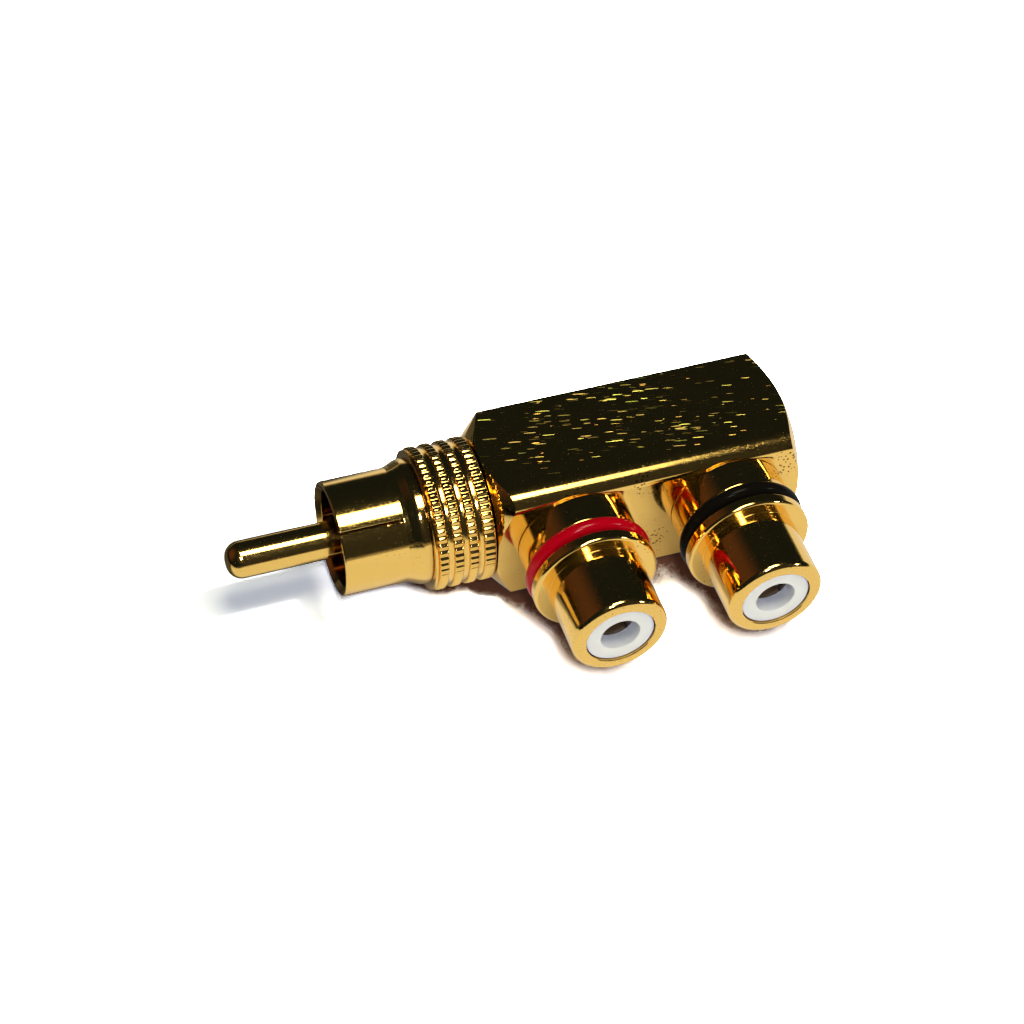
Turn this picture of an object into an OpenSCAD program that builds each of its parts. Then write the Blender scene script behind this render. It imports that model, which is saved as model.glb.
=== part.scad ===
// Phono splitter adapter: one slotted plug, a rectangular metal splitter body and two side jacks.
// Millimetres. The origin is the centre of the plug shell's mouth, on the plug's axis.
// +X runs along the plug's axis into the body, the jacks point along -Y, and +Z is up.

/* [Plug] */
// Diameter of the centre pin
pin_d = 3.2; // [3:0.05:3.3]
// How far the centre pin's tip stands out of the shell's mouth
pin_reach = 9; // [7:0.1:10]
// Radius of the pin's rounded tip edge
pin_tip_round = 1.3; // [0.4:0.1:1.4]
// Outer diameter of the slotted shell
shell_d = 9.88; // [9.6:0.02:10.2]
// Inner diameter of the slotted shell, which grips a jack's barrel
shell_bore_d = 8.4; // [8.3:0.02:8.5]
// Length of the straight part of the shell
shell_straight = 5.55; // [5.5:0.05:6]
// Length of the saw slots in the shell
slot_length = 5.35; // [4:0.05:5.5]
// Width of the saw slots in the shell
slot_width = 0.35; // [0.3:0.05:1]
// Turn of the first slot, measured from -Y towards +Z
slot_angle = 52.5; // [0:0.5:90]
// Diameter of the shell's collar
collar_d = 10.8; // [10.4:0.1:11.4]
// Width of the shell's collar
collar_width = 1; // [0.8:0.05:1.2]

/* [Knurled sleeve] */
// Diameter over the knurl's teeth
knurl_d = 12.34; // [12.1:0.02:12.6]
// Number of teeth round each knurled ring
knurl_teeth = 60; // [36:1:72]
// Depth of the knurl's teeth
knurl_depth = 0.14; // [0.1:0.02:0.3]
// Number of knurled rings
knurl_rings = 4; // [2:1:4]
// Distance from one knurled ring to the next
knurl_pitch = 1.305; // [1.25:0.005:1.31]
// Width of one knurled ring
knurl_ring_width = 0.88; // [0.6:0.02:1]
// Width of the ring next to the body
last_ring_width = 1.08; // [0.6:0.02:1.1]
// Length of the sleeve between the collar and the body
sleeve_length = 5.6; // [5.55:0.05:6]

/* [Splitter body] */
// Length of the body along the plug's axis
body_length = 27.2; // [27:0.1:30]
// Width of the body from the jack face to the back
body_width = 11; // [10.8:0.1:12]
// Height of the body
body_height = 11.2; // [11:0.1:12]
// Radius of the rounded top edge above the jacks
body_edge_round = 1.65; // [0.5:0.05:2]
// Size of the small bevel on the other long edges
body_edge_bevel = 0.12; // [0.05:0.01:0.3]
// Radius of the flat disc at the plug's end
plug_end_disc_r = 5.55; // [5:0.05:5.55]
// Radius of the flat disc at the far end
far_end_disc_r = 5.4; // [5:0.05:5.45]
// Slope of the turned chamfer at the plug's end, as length over radius
plug_end_slope = 0.66; // [0.3:0.01:0.7]
// Slope of the turned chamfer at the far end, as length over radius
far_end_slope = 0.52; // [0.3:0.01:0.7]

/* [Jacks] */
// Distance from the body's plug end to the first jack's axis
first_jack = 6.8; // [6.6:0.1:7]
// Distance between the two jacks' axes
jack_pitch = 13.7; // [12.5:0.1:14]
// Outer diameter of a jack's barrel, which a plug's shell grips
barrel_d = 8.34; // [8.2:0.02:8.4]
// Length of the barrel in front of its flange
barrel_length = 6.01; // [5.5:0.01:8]
// Radius of the barrel's rounded front edge
barrel_edge_round = 0.55; // [0.2:0.05:0.8]
// Diameter of the barrel's flange
flange_d = 10.8; // [10.2:0.1:11]
// Thickness of the barrel's flange
flange_width = 1; // [0.8:0.05:1.2]
// Outer diameter of the colour ring
ring_d = 11; // [10.4:0.1:11.4]
// Width of the colour ring
ring_width = 1.25; // [1:0.05:1.3]
// Outer diameter of the boss between the body and the colour ring
boss_d = 10.1; // [9.4:0.1:10.6]
// Length of that boss
boss_length = 2.7; // [2.5:0.1:3.4]
// Diameter of the white insulator
insulator_d = 6; // [5.8:0.1:6.2]
// Diameter of the hole in the insulator's front
insulator_hole_d = 3.4; // [3.3:0.05:3.8]
// How far the insulator's front is set back in the barrel
insulator_setback = 0.2; // [0.1:0.05:0.5]
// Inner diameter of the spring contact, which a plug's pin enters
socket_d = 3.24; // [3.22:0.01:3.3]

/* [Hidden] */

$fn = 96;
gold = [0.83, 0.62, 0.25];
bare_brass = [0.72, 0.58, 0.30];
white = [0.90, 0.90, 0.86];
crimson = [0.68, 0.02, 0.10];
black = [0.05, 0.05, 0.05];
// Reach of a cutting tool past the face that it opens
past = 1;

// Stations along the plug's axis
collar_start = shell_straight + 0.9;
sleeve_start = collar_start + collar_width;
body_start = sleeve_start + sleeve_length;
body_end = body_start + body_length;
knurl_start = sleeve_start + 0.31;
last_ring = knurl_start + (knurl_rings - 1) * knurl_pitch;
shell_end = body_start - 1.25;
spigot_end = body_start + 2.55;
plug_face = collar_start - 0.15;
plug_head_end = plug_face + 1;
pin_end = shell_end - 0.3;
rod_start = pin_end - 3;

// Radii along the plug's axis
knurl_r = knurl_d / 2;
knurl_root_r = knurl_r - knurl_depth;
groove_r = knurl_r - 0.34;
shoulder_r = knurl_root_r + 0.03;
neck_r = 5.4;
shell_spigot_r = 4.6;
sleeve_spigot_r = 3.8;
plug_core_r = 3.2;
pin_tail_r = 2;
rod_r = 1;
rod_sleeve_r = 2;

// Distances from the body's centre plane along a jack's axis, towards the jack's mouth
jack_face = body_width / 2;
boss_end = jack_face + boss_length;
ring_end = boss_end + ring_width;
flange_start = ring_end + 0.4;
flange_end = flange_start + flange_width;
barrel_end = flange_end + barrel_length;
insulator_front = barrel_end - insulator_setback;
contact_front = insulator_front - 1.5;
finger_start = contact_front - 6;
shank_end = 3.2;
socket_floor = 1.6;
contact_back = -1.8;
cup_back = contact_back - 1;

// Radii along a jack's axis
shank_r = 3.6;
insulator_r = insulator_d / 2;
contact_r = 2.2;
finger_room_r = 2.5;
finger_slot = 0.35;
socket_r = socket_d / 2;

red_x = body_start + first_jack;
black_x = red_x + jack_pitch;
// Play at the ends of the pieces that slide into the body's long bore
end_play = 0.1;
bore_end = black_x + insulator_r + 2;
rod_end = bore_end - 0.9;

// Turns a profile of radius across and station up about the plug's axis
module turned_x() {
    rotate([0, 90, 0]) rotate_extrude() children();
}

// Turns a profile of radius across and distance up about a jack's axis at station x
module turned_jack(x) {
    translate([x, 0, 0]) rotate([90, 0, 0]) rotate_extrude() children();
}

// Rectangle of a turned profile, from one radius to another and from one station to another
module band(r_from, r_to, from, to) {
    translate([r_from, from]) square([r_to - r_from, to - from]);
}

// The same with outer edges rounded by their own radii
module soft_band(r_from, r_to, from, to, round_from, round_to) {
    difference() {
        band(r_from, r_to, from, to);
        edge_waste(r_to, from, round_from, 1);
        edge_waste(r_to, to, round_to, -1);
    }
}

// What a radius of size takes off the outer corner at r, station at; inward is 1 or -1
module edge_waste(r, at, size, inward) {
    if (size > 0) {
        difference() {
            translate([r - size, inward > 0 ? at - past : at - size]) square([size + past, size + past]);
            translate([r - size, at + inward * size]) circle(size);
        }
    }
}

// Rectangular bar with two turned ends, bored from the plug's end and from the jack face
module splitter_body() {
    color(gold) difference() {
        intersection() {
            bar();
            turned_ends();
        }
        turned_x() {
            band(0, sleeve_spigot_r, body_start - past, spigot_end);
            band(0, rod_sleeve_r, spigot_end - past, bore_end);
        }
        for (x = [red_x, black_x]) {
            turned_jack(x) {
                band(0, shank_r, shank_end, jack_face + past);
                band(0, insulator_r, cup_back, shank_end + past);
            }
        }
    }
}

module bar() {
    y = body_width / 2;
    z = body_height / 2;
    r = body_edge_round;
    b = body_edge_bevel;
    translate([body_start, 0, 0]) rotate([90, 0, 90]) linear_extrude(body_length) union() {
        polygon([
            [-y + b, -z], [y - b, -z], [y, -z + b], [y, z - b], [y - b, z],
            [r - y, z], [r - y, z - r], [-y, z - r], [-y, -z + b]
        ]);
        intersection() {
            translate([r - y, z - r]) circle(r);
            translate([-y, z - r]) square(r);
        }
    }
}

// Envelope of the two ends: a flat disc with a chamfer cone outside it
module turned_ends() {
    corner_r = norm([body_width, body_height]) / 2 + past;
    turned_x() polygon([
        [0, body_start],
        [plug_end_disc_r, body_start],
        [corner_r, body_start + (corner_r - plug_end_disc_r) * plug_end_slope],
        [corner_r, body_end - (corner_r - far_end_disc_r) * far_end_slope],
        [far_end_disc_r, body_end],
        [0, body_end]
    ]);
}

// Sleeve with knurled rings outside and a spigot that is pressed into the body
module knurled_sleeve() {
    color(gold) difference() {
        union() {
            turned_x() {
                soft_band(0, shoulder_r, sleeve_start, knurl_start, 0.18, 0);
                band(0, groove_r, sleeve_start + 0.2, last_ring + last_ring_width / 2);
                band(0, neck_r, last_ring, body_start);
                band(0, sleeve_spigot_r, body_start - past, spigot_end);
            }
            for (ring = [0 : knurl_rings - 2]) {
                knurled_ring(knurl_start + ring * knurl_pitch, knurl_ring_width);
            }
            knurled_ring(last_ring, last_ring_width);
        }
        turned_x() {
            band(0, shell_spigot_r, sleeve_start - past, shell_end);
            band(0, plug_core_r, shell_end - past, spigot_end + past);
        }
    }
}

// One ring of straight teeth whose ends slope down to the smooth groove
module knurled_ring(from, width) {
    intersection() {
        translate([from, 0, 0]) rotate([90, 0, 90]) linear_extrude(width) polygon(knurl_outline());
        turned_x() polygon([
            [0, from],
            [groove_r + 0.05, from],
            [knurl_r - 0.06, from + 0.1],
            [knurl_r + 0.01, from + 0.2],
            [knurl_r + 0.01, from + width - 0.2],
            [knurl_r - 0.06, from + width - 0.1],
            [groove_r + 0.05, from + width],
            [0, from + width]
        ]);
    }
}

// Outline of the teeth: each has a narrow flat top, gentle flanks and a narrow flat root
function knurl_outline() = [
    for (tooth = [0 : knurl_teeth - 1])
    for (point = [[-0.4, knurl_root_r], [-0.1, knurl_r], [0.1, knurl_r], [0.4, knurl_root_r]])
    let (angle = (tooth + point[0]) * 360 / knurl_teeth)
    [point[1] * cos(angle), point[1] * sin(angle)]
];

// Springy outer contact of the plug: a thin slotted tube, a collar and a spigot
module plug_shell() {
    shell_r = shell_d / 2;
    bore_r = shell_bore_d / 2;
    lip = 0.3;
    cove = collar_start - shell_straight;
    color(gold) difference() {
        turned_x() difference() {
            union() {
                soft_band(0, shell_r, 0, shell_straight + 0.01, 0.15, 0);
                polygon([
                    [0, shell_straight],
                    [shell_r, shell_straight],
                    [shell_r + 0.1, shell_straight + cove * 0.4],
                    [collar_d / 2 - 0.14, collar_start],
                    [0, collar_start]
                ]);
                soft_band(0, collar_d / 2, collar_start, sleeve_start, 0.15, 0.08);
                band(0, shell_spigot_r, sleeve_start - past, shell_end);
            }
            band(0, bore_r, -past, plug_head_end);
            band(0, plug_core_r, plug_head_end - past, shell_end + past);
            polygon([[0, -0.001], [bore_r + lip, -0.001], [bore_r, lip], [0, lip]]);
        }
        for (cut = [0, 90]) {
            rotate([-slot_angle - cut, 0, 0])
            translate([-past, -shell_d, -slot_width / 2])
            cube([past + slot_length, shell_d * 2, slot_width]);
        }
    }
}

// Insulator that holds the centre pin in the shell and passes the rod into the body
module plug_insulator() {
    color(white) turned_x() {
        band(pin_tail_r, shell_bore_d / 2, plug_face, plug_head_end);
        band(pin_tail_r, plug_core_r, plug_head_end, pin_end);
        band(rod_r, plug_core_r, pin_end, spigot_end);
        band(rod_r, rod_sleeve_r, spigot_end, red_x - insulator_r - end_play);
    }
}

// Pin with a blunt round tip and a thicker tail, which has a hole for the rod
module centre_pin() {
    color(gold) turned_x() {
        soft_band(0, pin_d / 2, -pin_reach, plug_face, pin_tip_round, 0);
        band(0, pin_tail_r, plug_face, rod_start);
        band(rod_r, pin_tail_r, rod_start, pin_end);
    }
}

// Rod that joins the pin to both spring contacts
module bus_rod() {
    color(bare_brass) turned_x() band(0, rod_r, rod_start, rod_end);
}

// Insulating tube on the rod between the two jacks
module rod_spacer() {
    color(white) turned_x() band(
        rod_r, rod_sleeve_r, red_x + insulator_r + end_play, black_x - insulator_r - end_play
    );
}

// Insulating cap on the rod's far end, in the blind end of the body's bore
module rod_end_cap() {
    color(white) turned_x() {
        band(rod_r, rod_sleeve_r, black_x + insulator_r + end_play, rod_end);
        band(0, rod_sleeve_r, rod_end, bore_end);
    }
}

// Plain turned spacer between the body and the colour ring
module jack_boss(x) {
    color(gold) turned_jack(x) soft_band(shank_r, boss_d / 2, jack_face, boss_end, 0.12, 0.12);
}

// Plastic colour ring with a fully round rim
module jack_ring(x, shade) {
    rim = ring_width * 0.49;
    color(shade) turned_jack(x) soft_band(shank_r, ring_d / 2, boss_end, ring_end, rim, rim);
}

// Outer contact of a jack: barrel, flange, a step that holds the ring, and the shank in the body
module jack_barrel(x) {
    barrel_r = barrel_d / 2;
    step_r = 4.7;
    lip = 0.05;
    color(gold) turned_jack(x) difference() {
        union() {
            band(0, shank_r, shank_end, flange_start);
            band(0, step_r, ring_end, flange_start + past / 2);
            soft_band(0, flange_d / 2, flange_start, flange_end, 0.12, 0.3);
            soft_band(0, barrel_r, flange_end - past / 2, barrel_end, 0, barrel_edge_round);
        }
        band(0, insulator_r, shank_end - past, barrel_end + past);
        polygon([
            [0, barrel_end - lip],
            [insulator_r, barrel_end - lip],
            [insulator_r + lip + 0.001, barrel_end + 0.001],
            [0, barrel_end + 0.001]
        ]);
    }
}

// White insulator of a jack, with room behind its front wall for the contact's fingers
module jack_insulator(x) {
    hole_r = insulator_hole_d / 2;
    soft = 0.1;
    color(white) turned_jack(x) union() {
        band(contact_r, insulator_r, shank_end, finger_start);
        band(finger_room_r, insulator_r, finger_start, contact_front);
        band(hole_r, insulator_r, contact_front, insulator_front - soft);
        band(hole_r + soft, insulator_r, insulator_front - soft, insulator_front);
        intersection() {
            translate([hole_r + soft, insulator_front - soft]) circle(soft);
            band(hole_r, hole_r + soft, insulator_front - soft, insulator_front);
        }
    }
}

// Spring contact of a jack: a tube split into four fingers, with a cross hole for the rod
module jack_contact(x) {
    lip = 0.25;
    color(gold) difference() {
        turned_jack(x) difference() {
            band(0, contact_r, contact_back, contact_front);
            band(0, socket_r, socket_floor, contact_front + past);
            polygon([
                [0, contact_front - lip],
                [socket_r, contact_front - lip],
                [socket_r + lip + 0.001, contact_front + 0.001],
                [0, contact_front + 0.001]
            ]);
        }
        for (turn = [45, 135]) {
            translate([x, -contact_front / 2 - finger_start / 2, 0])
            rotate([0, turn, 0])
            cube([contact_r * 3, contact_front - finger_start, finger_slot], center = true);
        }
        turned_x() band(0, rod_r, x - contact_r - past, x + contact_r + past);
    }
}

// Insulating cup in the body behind a jack, open to the rod on both sides
module jack_rear_cup(x) {
    color(white) difference() {
        turned_jack(x) difference() {
            band(0, insulator_r, cup_back, shank_end);
            band(0, contact_r, contact_back, shank_end + past);
        }
        turned_x() band(0, rod_r, x - insulator_r - past, x + insulator_r + past);
    }
}

splitter_body();
knurled_sleeve();
plug_shell();
plug_insulator();
centre_pin();
bus_rod();
rod_spacer();
rod_end_cap();
jack_boss(red_x);  // red_jack_boss
jack_ring(red_x, crimson);  // red_ring
jack_barrel(red_x);  // red_jack_barrel
jack_insulator(red_x);  // red_jack_insulator
jack_contact(red_x);  // red_jack_contact
jack_rear_cup(red_x);  // red_jack_rear_cup
jack_boss(black_x);  // black_jack_boss
jack_ring(black_x, black);  // black_ring
jack_barrel(black_x);  // black_jack_barrel
jack_insulator(black_x);  // black_jack_insulator
jack_contact(black_x);  // black_jack_contact
jack_rear_cup(black_x);  // black_jack_rear_cup
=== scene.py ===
"""Dresses the phono splitter adapter: gold plate, knurl, slots, rings and insulators round its solids."""

import math

import bmesh
import bpy
from mathutils import Matrix, Vector


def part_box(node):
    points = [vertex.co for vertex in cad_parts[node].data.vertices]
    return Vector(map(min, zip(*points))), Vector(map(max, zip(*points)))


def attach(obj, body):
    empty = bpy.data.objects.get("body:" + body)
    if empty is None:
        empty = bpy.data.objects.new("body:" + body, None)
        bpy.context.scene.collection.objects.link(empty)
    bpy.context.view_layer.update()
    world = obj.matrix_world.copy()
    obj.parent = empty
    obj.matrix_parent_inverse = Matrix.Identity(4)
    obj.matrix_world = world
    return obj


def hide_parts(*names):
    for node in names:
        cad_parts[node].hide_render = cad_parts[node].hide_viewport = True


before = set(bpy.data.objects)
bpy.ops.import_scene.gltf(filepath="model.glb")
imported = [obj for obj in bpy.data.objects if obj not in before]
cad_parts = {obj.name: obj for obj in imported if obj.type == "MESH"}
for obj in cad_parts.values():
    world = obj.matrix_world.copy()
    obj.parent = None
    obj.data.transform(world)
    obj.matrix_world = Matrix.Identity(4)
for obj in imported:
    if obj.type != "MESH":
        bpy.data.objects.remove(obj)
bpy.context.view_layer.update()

bl_info = {
    "name": "Phono splitter adapter",
    "version": (1, 0, 0),
    "blender": (4, 5, 0),
    "location": "3D View > Sidebar > Splitter",
    "description": "Builds the finished surfaces of a phono splitter adapter round its solids",
    "category": "Object",
}

MM = 0.001
BODY = "root"
JACKS = ("red", "black")
# How finely the bar's sides and its rounded edge are divided
SIDE_PARTS = 40
EDGE_STEPS = 30
# Vertices nearer than this become one
WELD = 0.001 * MM

# Radii at which one piece sits in another
SHANK_R = 3.6 * MM
SLEEVE_SPIGOT_R = 3.8 * MM
SHELL_SPIGOT_R = 4.6 * MM
CORE_R = 3.2 * MM

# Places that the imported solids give, in metres
BAR_LOW, BAR_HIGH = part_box("splitter_body")
SLEEVE_LOW, SLEEVE_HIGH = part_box("knurled_sleeve")
SHELL_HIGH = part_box("plug_shell")[1]
PIN_LOW, PIN_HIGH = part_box("centre_pin")


def length(name, description, default):
    """A size in metres, shown with its unit."""
    return bpy.props.FloatProperty(
        name=name, description=description, default=default, unit="LENGTH", precision=6
    )


def ratio(name, description, default):
    """A number without a unit."""
    return bpy.props.FloatProperty(name=name, description=description, default=default)


def shade(name, description, default):
    """A plain colour."""
    return bpy.props.FloatVectorProperty(
        name=name, description=description, default=default, subtype="COLOR", size=3, min=0, max=1
    )


class SplitterBodySettings(bpy.types.PropertyGroup):
    """Sizes of the rectangular body."""

    edge_depth: length("Rounded edge depth", "How far the edge reaches down the jacks' side", 1.35 * MM)
    edge_wide: length("Rounded edge at the plug", "How far it reaches over the top by the plug", 2.0 * MM)
    edge_narrow: length("Rounded edge at the far end", "The same at the far end", 1.55 * MM)
    edge_break: length("Edge break", "Radius of the other edges", 0.1 * MM)
    plug_disc: length("Plug end disc", "Radius of the flat disc at the plug's end", 6.05 * MM)
    far_disc: length("Far end disc", "Radius of the flat disc at the far end", 5.7 * MM)
    turned_back: length("Turning offset back", "How far back the ends' turning axis lies", 0.4 * MM)
    turned_down: length("Turning offset down", "How far down the ends' turning axis lies", 0.5 * MM)
    plug_slope: ratio("Plug end slope", "Length over radius of the chamfer at the plug's end", 0.78)
    far_slope: ratio("Far end slope", "Length over radius of the chamfer at the far end", 0.52)


class PlugSettings(bpy.types.PropertyGroup):
    """Sizes of the plug and its knurled sleeve."""

    pin_diameter: length("Pin diameter", "Diameter of the centre pin", 3.2 * MM)
    pin_tip: length("Pin tip", "Radius of the pin's rounded tip edge", 1.3 * MM)
    shell_diameter: length("Shell diameter", "Outer diameter of the slotted shell", 9.88 * MM)
    shell_bore: length("Shell bore", "Inner diameter of the slotted shell", 8.4 * MM)
    shell_straight: length("Shell length", "Length of the shell's straight part", 5.55 * MM)
    slot_length: length("Slot length", "Length of the shell's saw slots", 5.35 * MM)
    slot_width: length("Slot width", "Width of the shell's saw slots", 0.35 * MM)
    slot_angle: bpy.props.FloatProperty(
        name="Slot angle",
        description="Turn of the first slot from the jacks' side upwards",
        default=math.radians(52.5),
        subtype="ANGLE",
    )
    teeth: bpy.props.IntProperty(
        name="Teeth", description="Teeth round each knurled ring", default=60, min=12
    )
    rings: bpy.props.IntProperty(name="Rings", description="Number of knurled rings", default=4, min=1)
    ring_pitch: length("Ring pitch", "Distance from one knurled ring to the next", 1.305 * MM)
    ring_width: length("Ring width", "Width of one knurled ring", 0.88 * MM)
    last_ring_width: length("Last ring width", "Width of the ring next to the body", 1.08 * MM)
    tooth_depth: length("Tooth depth", "Depth of the knurl's teeth", 0.14 * MM)


class JackSettings(bpy.types.PropertyGroup):
    """Sizes of both jacks."""

    barrel_diameter: length("Barrel diameter", "Outer diameter of the barrels", 8.34 * MM)
    barrel_edge: length("Barrel edge", "Radius of the barrels' front edge", 0.55 * MM)
    step_width: length("Step width", "Length of the narrow step between ring and flange", 0.4 * MM)
    flange_width: length("Flange width", "Thickness of the barrels' flanges", 1.0 * MM)
    flange_edge: length("Flange edge", "Radius of the flanges' front edge", 0.3 * MM)
    hole_diameter: length("Hole diameter", "Diameter of the holes in the insulators", 3.4 * MM)


class FinishSettings(bpy.types.PropertyGroup):
    """Colours and surface quality."""

    gold: shade("Gold plate", "Colour of the gold plate", (0.93, 0.61, 0.165))
    # Colour of the pits, also used as the painted shade in the plate's recesses
    pits_and_shade: shade("Pits", "Colour inside the pits and recesses of the plate", (0.16, 0.065, 0.02))
    red: shade("Red ring", "Colour of the red ring", (0.45, 0.001, 0.010))
    black: shade("Black ring", "Colour of the black ring", (0.006, 0.005, 0.004))
    white: shade("Insulator", "Colour of the white insulators", (0.74, 0.75, 0.73))


def arc(corner, before, after, radius, steps):
    """Points of the arc that rounds an outline's corner between its two neighbours."""
    to_before = (before - corner).normalized()
    to_after = (after - corner).normalized()
    half = to_before.angle(to_after) / 2
    reach = radius / math.tan(half)
    centre = corner + (to_before + to_after).normalized() * (radius / math.sin(half))
    start = corner + to_before * reach - centre
    end = corner + to_after * reach - centre
    turn = start.angle(end)
    points = []
    for step in range(steps + 1):
        share = step / steps
        near = math.sin((1 - share) * turn) / math.sin(turn)
        far = math.sin(share * turn) / math.sin(turn)
        points.append(centre + start * near + end * far)
    return points


def soft_outline(corners):
    """A closed outline whose corners are rounded. Each corner is (station, radius, rounding)."""
    small_rounding, small_steps, large_steps = 0.2 * MM, 4, 10
    beyond = 0.01 * MM
    points = []
    for index, (station, radius, rounding) in enumerate(corners):
        corner = Vector((station, radius))
        if rounding == 0:
            points.append(corner)
            continue
        before = Vector(corners[index - 1][:2])
        after = Vector(corners[(index + 1) % len(corners)][:2])
        steps = small_steps if rounding < small_rounding else large_steps
        bend = arc(corner, before, after, rounding, steps)
        # A point just beyond each end of the bend keeps the straight part's shading even
        points.append(bend[0] + (before - bend[0]).normalized() * beyond)
        points.extend(bend)
        points.append(bend[-1] + (after - bend[-1]).normalized() * beyond)
    return points


def along_plug(station, radius, angle):
    """A point at a station on the plug's axis."""
    return Vector((station, radius * math.cos(angle), radius * math.sin(angle)))


def along_jack(x):
    """The rule that places a point round a jack's axis, at a station in front of the plug's axis."""

    def place(station, radius, angle):
        return Vector((x + radius * math.cos(angle), -station, radius * math.sin(angle)))

    return place


def turned_mesh(outline, place, segments):
    """A solid of revolution from a closed outline. Points with no radius become one vertex each."""
    on_axis = 1e-9
    angles = [math.tau * step / segments for step in range(segments)]
    mesh = bmesh.new()
    rows = []
    for station, radius in outline:
        if radius < on_axis:
            rows.append([mesh.verts.new(place(station, 0, 0))] * segments)
        else:
            rows.append([mesh.verts.new(place(station, radius, angle)) for angle in angles])
    for row, above in zip(rows, rows[1:] + rows[:1]):
        for step in range(segments):
            beside = (step + 1) % segments
            corners = []
            for vertex in (row[step], row[beside], above[beside], above[step]):
                if vertex not in corners:
                    corners.append(vertex)
            if len(corners) > 2:
                mesh.faces.new(corners)
    bmesh.ops.recalc_face_normals(mesh, faces=mesh.faces)
    return mesh


def add_object(name, mesh):
    """Links a new object that holds the given bmesh."""
    data = bpy.data.meshes.new(name)
    mesh.to_mesh(data)
    mesh.free()
    piece = bpy.data.objects.new(name, data)
    bpy.context.scene.collection.objects.link(piece)
    return piece


def turned(name, corners, place, segments=192):
    """An object turned from a closed outline of soft corners."""
    return add_object(name, turned_mesh(soft_outline(corners), place, segments))


def bake_modifiers(piece):
    """Makes the modified shape the piece's plain mesh."""
    graph = bpy.context.evaluated_depsgraph_get()
    data = bpy.data.meshes.new_from_object(piece.evaluated_get(graph))
    piece.modifiers.clear()
    old = piece.data
    piece.data = data
    bpy.data.meshes.remove(old)
    data.name = piece.name


def cut(piece, cutter):
    """Takes the cutter's solid out of the piece and deletes the cutter."""
    knife = piece.modifiers.new("Cut", "BOOLEAN")
    knife.operation = "DIFFERENCE"
    knife.solver = "EXACT"
    knife.object = cutter
    bake_modifiers(piece)
    bpy.data.objects.remove(cutter)


def even_shading(piece, sharp_degrees=32):
    """Smooth shading with sharp creases, led by the large faces."""
    piece.data.shade_smooth()
    piece.data.set_sharp_from_angle(angle=math.radians(sharp_degrees))
    normals = piece.modifiers.new("Normals", "WEIGHTED_NORMAL")
    normals.keep_sharp = True
    normals.weight = 100
    bake_modifiers(piece)


def settle(piece, material, slot, *nodes):
    """Gives the piece its material, ties it to the body and hides the nodes that it stands for."""
    piece.data.materials.clear()
    piece.data.materials.append(material)
    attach(piece, BODY)
    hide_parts(*nodes)


def dress_node(name, material):
    """Gives a solid that stays in view a better material."""
    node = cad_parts[name]
    for holder in node.material_slots:
        holder.material = material


def add_node(tree, kind, inputs=None, **settings):
    """Adds a node to a tree. Inputs are values, or sockets to join."""
    node = tree.nodes.new(kind)
    for key, value in settings.items():
        setattr(node, key, value)
    for key, value in (inputs or {}).items():
        if isinstance(value, bpy.types.NodeSocket):
            tree.links.new(value, node.inputs[key])
        else:
            node.inputs[key].default_value = value
    return node


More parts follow.
